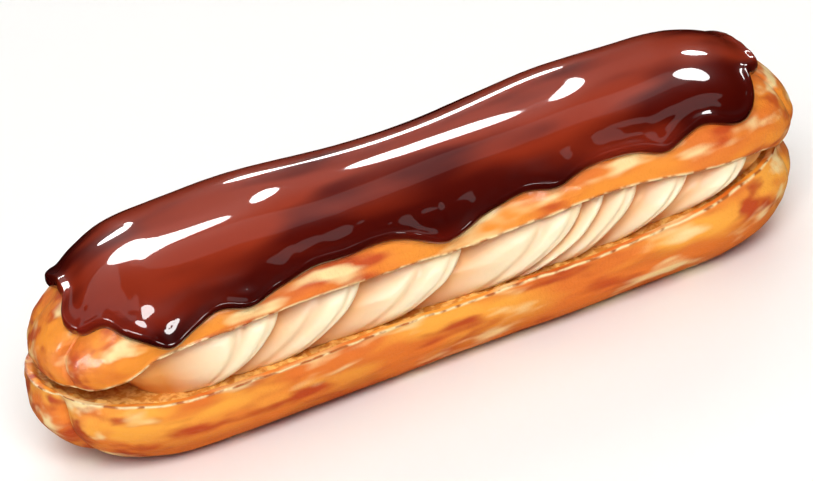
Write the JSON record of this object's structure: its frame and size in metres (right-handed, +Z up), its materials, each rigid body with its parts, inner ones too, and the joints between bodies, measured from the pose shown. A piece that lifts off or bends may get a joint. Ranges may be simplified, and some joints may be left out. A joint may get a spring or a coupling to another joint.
{
  "type": "chocolate eclair",
  "caption": "Choux pastry finger split lengthwise, filled with piped vanilla cream and topped with glossy dark chocolate icing.",
  "frame": {"origin": "centre of the flat underside, on the surface that the eclair lies on", "axes": "+X along the finger, +Z up, and -Y towards the long side with the deepest icing drip"},
  "size_m": [0.1512, 0.0402, 0.0416],
  "materials": {
    "choux_base": "baked golden-brown choux crust",
    "cream_filling": "soft piped vanilla cream",
    "choux_lid": "baked golden-brown choux crust",
    "chocolate_icing": "glossy dark chocolate icing"
  },
  "bodies": {
    "root": {"choux_base": "choux_base", "cream_filling": "cream_filling", "choux_lid": "choux_lid", "chocolate_icing": "chocolate_icing"}
  },
  "joints": []
}
